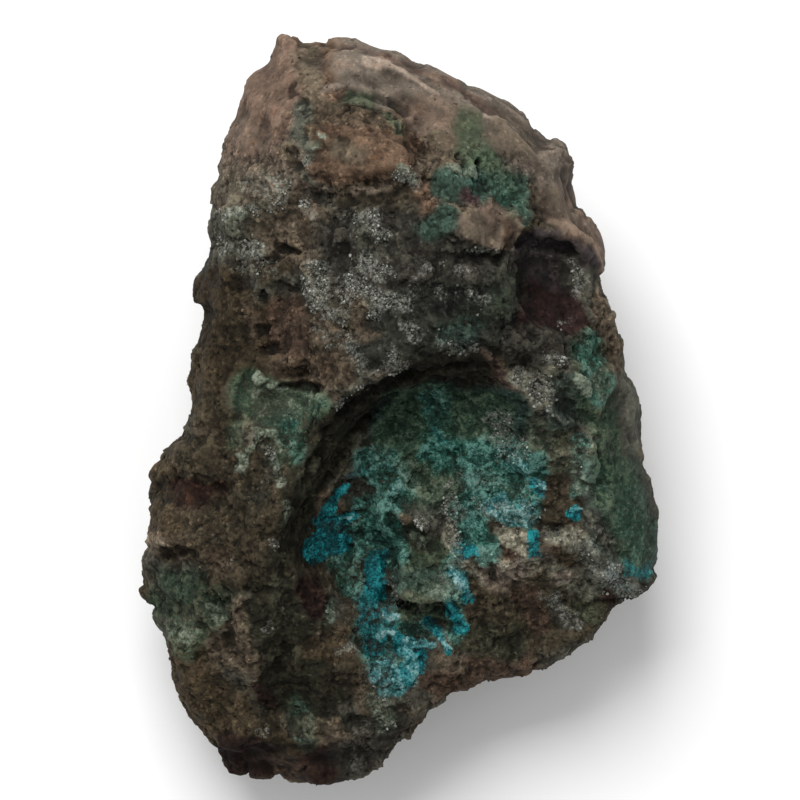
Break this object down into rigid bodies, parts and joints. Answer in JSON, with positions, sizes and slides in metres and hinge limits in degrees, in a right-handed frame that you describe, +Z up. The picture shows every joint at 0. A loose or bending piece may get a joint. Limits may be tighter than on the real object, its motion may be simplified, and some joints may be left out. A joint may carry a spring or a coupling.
{
  "type": "chrysocolla specimen",
  "caption": "Rough lump of copper ore with turquoise chrysocolla and green malachite in a broken hollow, lying on its flat back.",
  "frame": {"origin": "on the surface the specimen rests on, under the middle of its bounding box", "axes": "+Z up out of the flat face it rests on, +Y along the specimen towards the end with the clean broken faces, +X across it towards the long green slope"},
  "size_m": [0.0646, 0.093, 0.0424],
  "materials": {
    "stone": "rough broken rock, dull, with patches of blue-green crust"
  },
  "bodies": {
    "root": {"specimen": "stone"}
  },
  "joints": []
}
